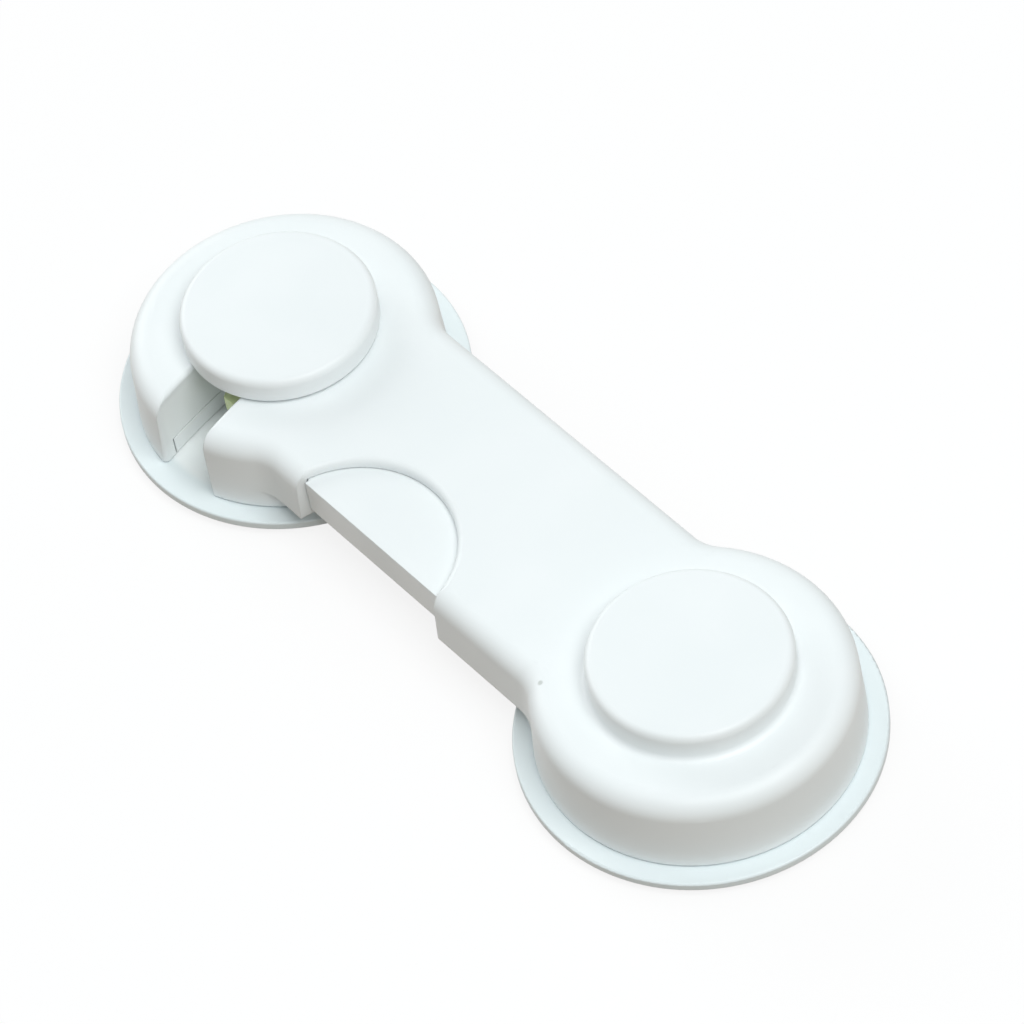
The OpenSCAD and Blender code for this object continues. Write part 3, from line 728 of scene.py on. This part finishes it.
def pad_ring(centre, radius, height):
    """One outline of a pad, which wavers about its radius."""
    ring = []
    for i in range(PAD_SIDES):
        angle = 2 * math.pi * i / PAD_SIDES
        wave = sum(math.sin(count * angle + count) / count for count in PAD_WAVES)
        reach = radius + PAD_WAVE * wave
        across = reach * math.cos(angle)
        along = reach * math.sin(angle)
        ring.append((centre.x + across, centre.y + along, height))
    return ring


def foam_pad(node):
    low, high = box_of(node)
    radius = (high.x - low.x) / 2 - PAD_SWELL
    rings = []
    for i in range(PAD_RINGS):
        up = i / (PAD_RINGS - 1)
        swell = PAD_SWELL * math.sin(math.pi * up) - PAD_PINCH * (2 * up - 1) ** 8
        rings.append(pad_ring((low + high) / 2, radius + swell, low.z + up * (high.z - low.z)))
    piece = tube_mesh(node.replace("pad", "foam"), rings)
    piece.data.materials.append(foam_grey)
    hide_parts(node)
    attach(piece, "bases")
    return piece


for node in ("pivot_pad", "catch_pad"):
    print("foam piece:", foam_pad(node).name)

# %% [markdown]
# ## The spring
#
# The coil in the frame is a plain helix. A real compression spring has a closed turn at each
# end, ground nearly flat, and open turns between. A Screw modifier can only climb evenly, so
# the wire is swept round here with its rise as a function of the turn.

# %% Spring: sizes
SPRING_WIRE = 0.45 * MM
SPRING_TURNS = 8
SPRING_CLOSED = 1.0
CLOSED_PITCH = 1.02 * SPRING_WIRE
SPRING_STEPS = 32
WIRE_SIDES = 12

spring_low, spring_high = box_of("button_spring")
spring_middle = (spring_low + spring_high) / 2
SPRING_LENGTH = spring_high.y - spring_low.y - SPRING_WIRE
SPRING_RADIUS = (spring_high.z - spring_low.z - SPRING_WIRE) / 2
print("spring length and radius in mm:", round(SPRING_LENGTH / MM, 2), round(SPRING_RADIUS / MM, 2))

# %% Spring


def spring_rise(turn):
    """How far along the spring a turn stands, from 0 to 1, with closed turns at the ends."""
    closed = CLOSED_PITCH / SPRING_LENGTH
    if turn < SPRING_CLOSED:
        return turn * closed
    if turn > SPRING_TURNS - SPRING_CLOSED:
        return 1 - (SPRING_TURNS - turn) * closed
    open_turns = SPRING_TURNS - 2 * SPRING_CLOSED
    open_rise = 1 - 2 * SPRING_CLOSED * closed
    return SPRING_CLOSED * closed + (turn - SPRING_CLOSED) / open_turns * open_rise


def wire_ring(turn):
    """The round section of the wire at a turn of the coil."""
    angle = 2 * math.pi * turn
    along = spring_low.y + SPRING_WIRE / 2 + SPRING_LENGTH * spring_rise(turn)
    ring = []
    for side in range(WIRE_SIDES):
        around = 2 * math.pi * side / WIRE_SIDES
        reach = SPRING_RADIUS + SPRING_WIRE / 2 * math.cos(around)
        ring.append((
            spring_middle.x + reach * math.cos(angle),
            along + SPRING_WIRE / 2 * math.sin(around),
            spring_middle.z + reach * math.sin(angle),
        ))
    return ring


steps = range(SPRING_TURNS * SPRING_STEPS + 1)
coil = tube_mesh("spring_coil", [wire_ring(step / SPRING_STEPS) for step in steps])
coil.data.materials.append(zinc)
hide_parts("button_spring")
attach(coil, "arm")
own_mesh(coil)
print("spring turns:", SPRING_TURNS, "faces:", len(coil.data.polygons))

# %% [markdown]
# ## The studio floor
#
# The photograph shows the lock on pure white. A plain white floor would do for the eye, but it
# would throw so much light up that the sides of the lock would go as white as the top. So the
# floor is a pale, warm grey for the light that falls on the lock, and white for the camera and
# for anything that mirrors it, with a faint shadow left in. Its back is clear, so that the
# underside can be looked at as well, and it lies a fiftieth of a millimetre low, so that it
# never shares a plane with the pads.

# %% Floor
FLOOR_SIDE = 3.0
FLOOR_PALE = (0.34, 0.27, 0.20, 1)
PURE_WHITE = (1, 1, 1, 1)
FLOOR_ROUGHNESS = 0.9
FLOOR_GLOW = 0.85
FLOOR_DROP = 0.02 * MM
WHITE_TO = ("Is Camera Ray", "Is Glossy Ray", "Is Transmission Ray")


def floor_finish():
    """Pale to the light, white to the eye, and clear from below."""
    finish = Finish("studio_floor")
    seen = finish.seen_by(*WHITE_TO)
    finish.set(
        Base_Color=finish.mix(seen, FLOOR_PALE, PURE_WHITE),
        Roughness=FLOOR_ROUGHNESS,
        Specular_IOR_Level=0.0,
    )
    shaded = Value(finish, finish.shader.outputs[0])
    glow = finish.node("ShaderNodeEmission", inputs={"Color": PURE_WHITE, "Strength": 1.0})
    from_above = finish.blend(FLOOR_GLOW * seen, shaded, glow)
    clear = finish.node("ShaderNodeBsdfTransparent")
    back = finish.node("ShaderNodeNewGeometry", output="Backfacing")
    look = finish.blend(back * finish.seen_by("Is Camera Ray"), from_above, clear)
    finish.feed(finish.tree.nodes["Material Output"].inputs["Surface"], look)
    return finish.material


def sheet(name, side):
    """A flat square in the plane of the mounting surface."""
    mesh = bpy.data.meshes.new(name)
    half = side / 2
    corners = [(-half, -half, 0), (half, -half, 0), (half, half, 0), (-half, half, 0)]
    mesh.from_pydata(corners, [], [(0, 1, 2, 3)])
    made = bpy.data.objects.new(name, mesh)
    scene.collection.objects.link(made)
    return made


floor = sheet("studio_floor", FLOOR_SIDE)
floor.data.materials.append(floor_finish())
floor.location.z = -FLOOR_DROP
print("floor side in metres:", FLOOR_SIDE)

# %% [markdown]
# ## Sky and lamps
#
# Small white goods are photographed in a light tent, which lights them softly from all sides.
# A sky of one even colour is the whole tent. It is dim for the light and white for the eye, by
# the same switch as the floor. On its own it would leave the lock flat, so one wide lamp hangs
# overhead, a little to the right, and a weaker one stands low on the left to shape the sides.

# %% Sky
SKY = (0.93, 0.98, 1.0, 1)
SKY_STRENGTH = 0.38


def tent_sky():
    """An even sky, dim for the light and white for the eye."""
    world = bpy.data.worlds.new("studio_sky")
    world.use_nodes = True
    recipe = Recipe(world.node_tree)
    dim = world.node_tree.nodes["Background"]
    recipe.feed(dim.inputs["Color"], SKY)
    recipe.feed(dim.inputs["Strength"], SKY_STRENGTH)
    white = recipe.node("ShaderNodeBackground", inputs={"Color": PURE_WHITE, "Strength": 1.0})
    look = recipe.blend(recipe.seen_by(*WHITE_TO), Value(recipe, dim.outputs[0]), white)
    recipe.feed(world.node_tree.nodes["World Output"].inputs["Surface"], look)
    return world


scene.world = tent_sky()
print("sky strength:", SKY_STRENGTH)

# %% Lamps
LAMP_WHITE = (0.97, 1.0, 1.0)
LAMP_SIDE = 0.6
LAMPS = {
    "overhead": ((0.42, 0.02, 0.9), 6.0),
    "left": ((-0.85, 0.0, 0.34), 3.2),
}


def area_lamp(name, place, watts):
    """A square lamp that points at the middle of the lock."""
    data = bpy.data.lights.new(name, "AREA")
    data.shape = "SQUARE"
    data.size = LAMP_SIDE
    data.energy = watts
    data.color = LAMP_WHITE
    lamp = bpy.data.objects.new(name, data)
    lamp.location = place
    lamp.rotation_euler = (-Vector(place)).to_track_quat("-Z", "Y").to_euler()
    scene.collection.objects.link(lamp)


for name, (place, watts) in LAMPS.items():
    area_lamp(name, place, watts)
    print("lamp:", name, watts, "W")

# %% [markdown]
# ## The end

# %% Finish
print("scene dressed")
